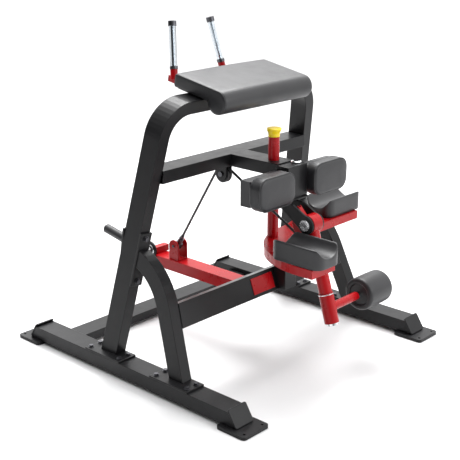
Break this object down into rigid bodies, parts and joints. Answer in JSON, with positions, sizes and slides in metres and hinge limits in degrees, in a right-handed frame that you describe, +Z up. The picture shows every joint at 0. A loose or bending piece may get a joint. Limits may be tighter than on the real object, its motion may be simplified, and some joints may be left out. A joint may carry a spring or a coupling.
{
  "type": "leg curl machine",
  "caption": "Plate-loaded kneeling leg curl machine with elbow pad, handles, thigh pads, knee dishes on a swivelling support, and a leg arm with ankle roller that lifts a weight lever by cable.",
  "frame": {"origin": "on the floor, at the middle of the four foot plates", "axes": "+Z up, +Y away from the user along the rails, +X along the crossbar towards the roller side"},
  "size_m": [1.26, 1.314, 1.3442],
  "materials": {
    "frame_paint": "satin powder coat",
    "red_paint": "gloss paint",
    "chrome": "polished",
    "vinyl": "satin vinyl",
    "black_plastic": "moulded satin",
    "dark_steel": "black oxide",
    "clear_plastic": "clear acrylic",
    "rubber": "matt",
    "yellow_plastic": "gloss",
    "cable": "coated steel cable"
  },
  "bodies": {
    "frame": {"rail_left": "frame_paint", "rail_right": "frame_paint", "foot_plates": "frame_paint", "rail_end_plates": "frame_paint", "rear_cross_beam": "frame_paint", "upright_left": "frame_paint", "upright_right": "frame_paint", "arch_top_tube": "frame_paint", "base_plates": "frame_paint", "frame_bolts": "dark_steel", "crossbar": "frame_paint", "forward_arm": "frame_paint", "curved_leg_left": "frame_paint", "curved_leg_right": "frame_paint", "leg_flanges": "frame_paint", "lower_beam": "frame_paint", "badge_plate": "red_paint", "elbow_pad": "vinyl", "elbow_pad_board": "frame_paint", "handle_brackets": "red_paint", "handle_rods": "chrome", "handle_grips": "clear_plastic", "handle_caps": "dark_steel", "storage_pegs": "black_plastic", "peg_plates": "frame_paint", "pulley_housing": "frame_paint", "pulley_axle": "dark_steel", "cable_over_pulley": "cable", "cable_front": "cable", "lever_shaft": "chrome", "lever_brackets": "frame_paint", "lever_stop": "rubber", "pad_bracket": "frame_paint", "thigh_pad_left": "vinyl", "thigh_pad_right": "vinyl", "pad_blocks": "black_plastic", "pivot_column": "frame_paint", "carrier_support": "frame_paint"},
    "lever_body": {"weight_lever": "red_paint", "lever_clevis": "red_paint", "loading_horn": "chrome", "horn_cross_bar": "red_paint", "horn_collar": "frame_paint", "cable_rear": "cable"},
    "fork_body": {"cable_fork": "dark_steel"},
    "pulley_body": {"pulley": "black_plastic"},
    "arm_body": {"leg_arm": "red_paint", "pivot_shaft": "chrome", "pivot_caps": "chrome", "cable_eye": "chrome"},
    "swivel_body": {"roller_sleeve": "red_paint", "sleeve_ring": "chrome", "sleeve_cap": "chrome", "roller_axle": "chrome"},
    "roller_body": {"roller_core": "black_plastic", "roller_pad": "vinyl"},
    "knee_body": {"swivel_post": "red_paint", "knee_carrier": "red_paint", "knee_dishes": "black_plastic"},
    "knob_body": {"pull_knob": "yellow_plastic"}
  },
  "joints": [
    {"name": "leg_curl", "type": "hinge", "parent": "frame", "child": "arm_body", "pos_m": [-0.03, -0.46, 0.617], "axis": [-1, 0, 0], "range_deg": [0, 100]},
    {"name": "weight_lift", "type": "hinge", "parent": "frame", "child": "lever_body", "pos_m": [0, -0.118, 0.255], "axis": [1, 0, 0], "range_deg": [0, 21], "deforming": ["cable_rear"]},
    {"name": "pulley_spin", "type": "hinge", "parent": "frame", "child": "pulley_body", "pos_m": [-0.03, 0, 0.734], "axis": [1, 0, 0], "range_deg": [0, 230]},
    {"name": "fork_swing", "type": "hinge", "parent": "lever_body", "child": "fork_body", "pos_m": [0, 0.306, 0.345], "axis": [-1, 0, 0], "range_deg": [0, 15.7]},
    {"name": "roller_swap", "type": "hinge", "parent": "arm_body", "child": "swivel_body", "pos_m": [-0.03, -0.55826, 0.2936], "axis": [0, -0.2907, -0.9568], "range_deg": [0, 180]},
    {"name": "roller_spin", "type": "hinge", "parent": "swivel_body", "child": "roller_body", "pos_m": [0.237, -0.55826, 0.2936], "axis": [1, 0, 0], "continuous": true},
    {"name": "knee_support_swivel", "type": "hinge", "parent": "frame", "child": "knee_body", "pos_m": [0, -0.242, 0.5], "axis": [0, 0, 1], "range_deg": [-35, 0]},
    {"name": "knob_pull", "type": "slide", "parent": "knee_body", "child": "knob_body", "axis": [0, 0, 1], "range_m": [0, 0.012], "stiffness_N_per_m": 600, "springref_m": -0.01}
  ],
  "couplings": [
    {"joint": "weight_lift", "follows": "leg_curl", "ratio": 0.21},
    {"joint": "pulley_spin", "follows": "leg_curl", "ratio": 2.28},
    {"joint": "fork_swing", "follows": "leg_curl", "ratio": 0.157}
  ]
}
